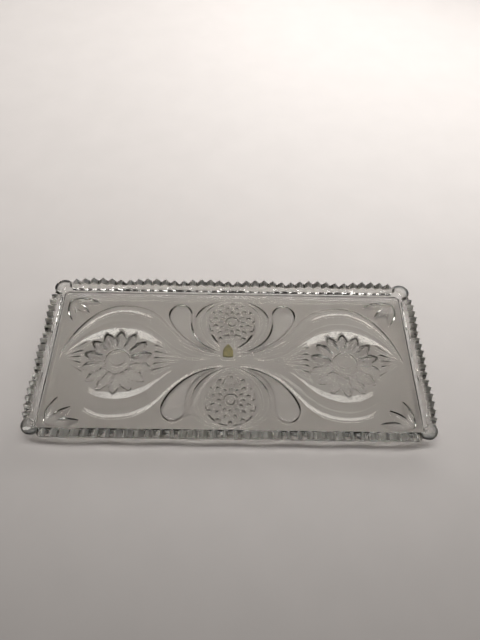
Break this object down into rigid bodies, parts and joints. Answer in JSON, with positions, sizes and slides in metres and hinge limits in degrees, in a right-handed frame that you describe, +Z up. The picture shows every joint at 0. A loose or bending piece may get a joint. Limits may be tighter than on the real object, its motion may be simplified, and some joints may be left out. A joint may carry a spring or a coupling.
{
  "type": "glass serving tray",
  "caption": "Clear pressed-glass rectangular serving tray with a low wall, a scalloped sawtooth lip, round corner lobes and cut-style relief under its flat floor.",
  "frame": {"origin": "middle of the base, on the surface that the tray stands on", "axes": "+X along the length, +Y towards the back, +Z up through the floor"},
  "size_m": [0.2926, 0.1366, 0.0159],
  "materials": {
    "glass": "clear fire-polished pressed glass",
    "label": "olive-gold foil-faced paper, unprinted"
  },
  "bodies": {
    "root": {"tray_floor": "glass", "wall_front": "glass", "wall_back": "glass", "wall_left": "glass", "wall_right": "glass", "corner_front_left": "glass", "corner_front_right": "glass", "corner_back_left": "glass", "corner_back_right": "glass", "centre_label": "label"}
  },
  "joints": []
}
